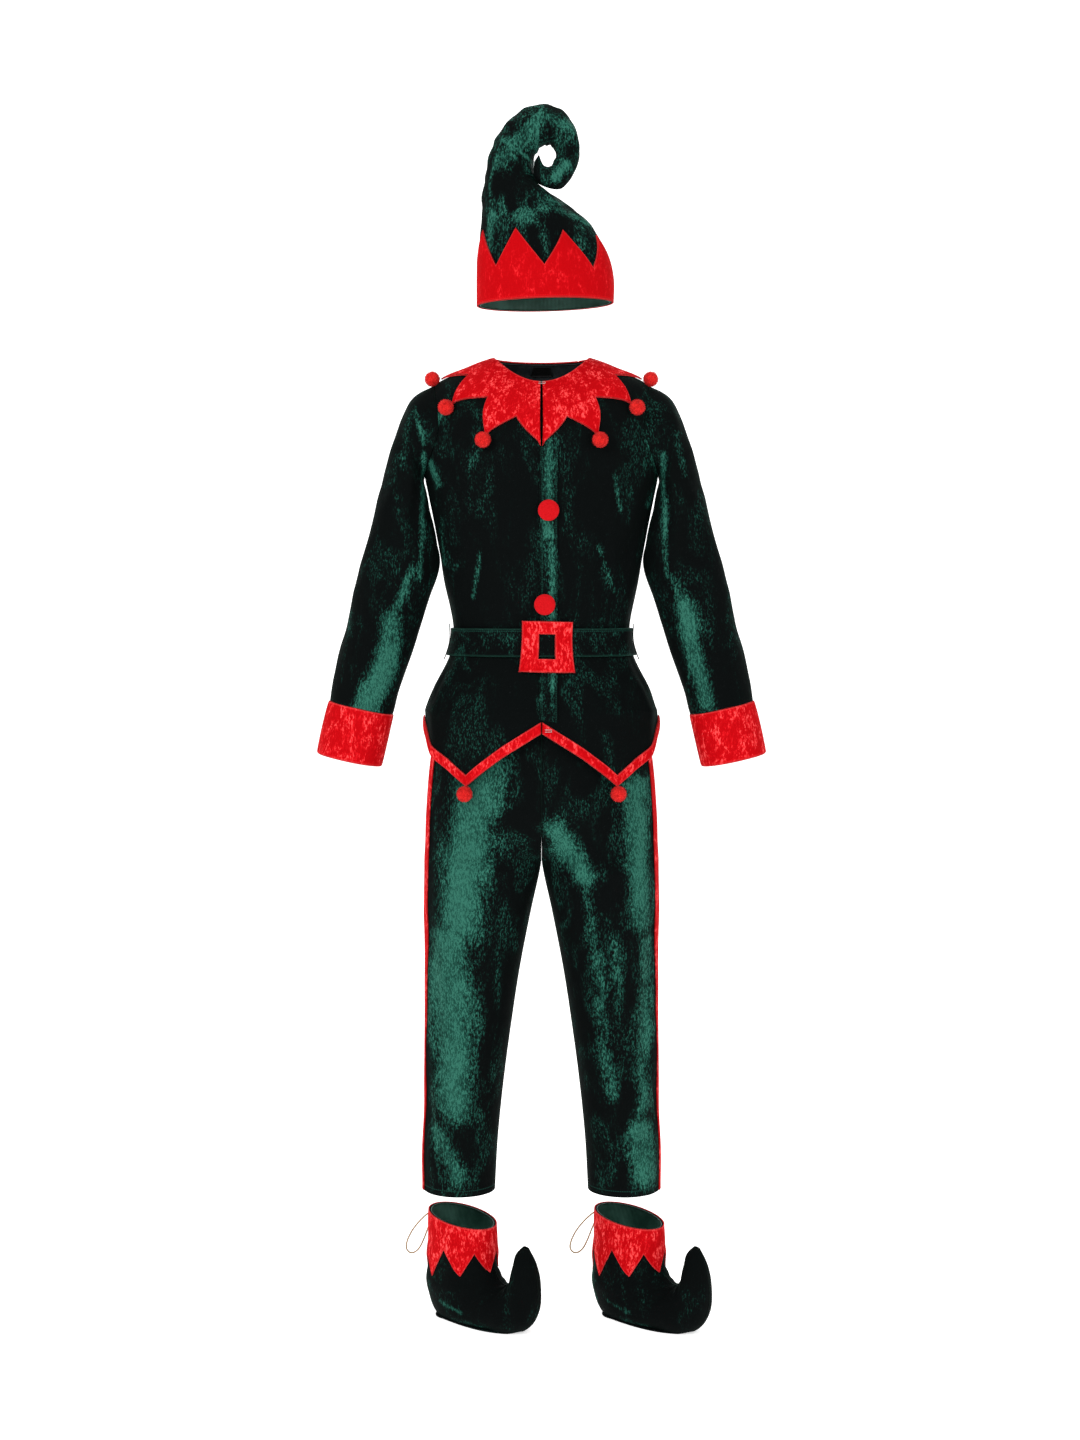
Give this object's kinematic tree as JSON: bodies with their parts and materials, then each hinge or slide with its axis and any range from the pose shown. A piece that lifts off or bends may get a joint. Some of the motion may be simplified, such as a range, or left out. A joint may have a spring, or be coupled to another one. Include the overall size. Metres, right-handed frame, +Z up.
{
  "type": "elf costume with hat, jacket, trousers and shoe covers",
  "caption": "Filled-out elf costume set: curled hat, belted jester-collar jacket with pompoms, side-striped trousers and curled-toe shoe covers.",
  "frame": {"origin": "middle of the neck opening, level with the neck ends of the shoulder seams, where the wearer's neck holds the jacket", "axes": "+Z up along the body, -Y out of the front, +X to the right as seen from the front"},
  "size_m": [0.7772, 0.2692, 2.1259],
  "materials": {
    "green_velvet": "crushed velvet",
    "red_velvet": "crushed velvet",
    "green_lining": "satin",
    "dark_lining": "matte twill",
    "red_pompom": "fuzzy yarn",
    "red_felt": "felt",
    "black_label": "woven satin",
    "beige_elastic": "elastic cord"
  },
  "bodies": {
    "root": {"jacket_front_left": "green_velvet", "jacket_front_right": "green_velvet", "jacket_back": "green_velvet", "sleeve_left": "green_velvet", "sleeve_right": "green_velvet", "cuff_left": "red_velvet", "cuff_right": "red_velvet", "collar": "red_velvet", "pompom_collar_1_left": "red_pompom", "pompom_collar_1_right": "red_pompom", "pompom_collar_2_left": "red_pompom", "pompom_collar_2_right": "red_pompom", "pompom_collar_3_left": "red_pompom", "pompom_collar_3_right": "red_pompom", "pompom_collar_4_left": "red_pompom", "pompom_collar_4_right": "red_pompom", "pompom_collar_5_left": "red_pompom", "pompom_collar_5_right": "red_pompom", "pompom_collar_6_middle": "red_pompom", "pompom_hem_front_left": "red_pompom", "pompom_hem_front_right": "red_pompom", "pompom_hem_back_left": "red_pompom", "pompom_hem_back_right": "red_pompom", "button_band": "green_velvet", "hem_trim_front_left": "red_velvet", "hem_trim_front_right": "red_velvet", "hem_trim_back": "red_velvet", "belt": "green_velvet", "belt_loop_left": "green_velvet", "belt_loop_right": "green_velvet", "belt_buckle": "red_velvet", "button_upper": "red_felt", "button_lower": "red_felt", "back_neck_facing": "dark_lining", "neck_label": "black_label", "trouser_front_left": "green_velvet", "trouser_front_right": "green_velvet", "trouser_back_left": "green_velvet", "trouser_back_right": "green_velvet", "side_stripe_left": "red_velvet", "side_stripe_right": "red_velvet", "waistband": "green_velvet", "hat_panel_front": "green_velvet", "hat_panel_back": "green_velvet", "hat_band": "red_velvet", "hat_lining": "green_lining", "shoe_left_near_side": "green_velvet", "shoe_left_far_side": "green_velvet", "shoe_left_cuff": "red_velvet", "shoe_left_lining": "green_lining", "shoe_left_sole": "green_velvet", "shoe_left_elastic_loop": "beige_elastic", "shoe_right_near_side": "green_velvet", "shoe_right_far_side": "green_velvet", "shoe_right_cuff": "red_velvet", "shoe_right_lining": "green_lining", "shoe_right_sole": "green_velvet", "shoe_right_elastic_loop": "beige_elastic"}
  },
  "joints": []
}
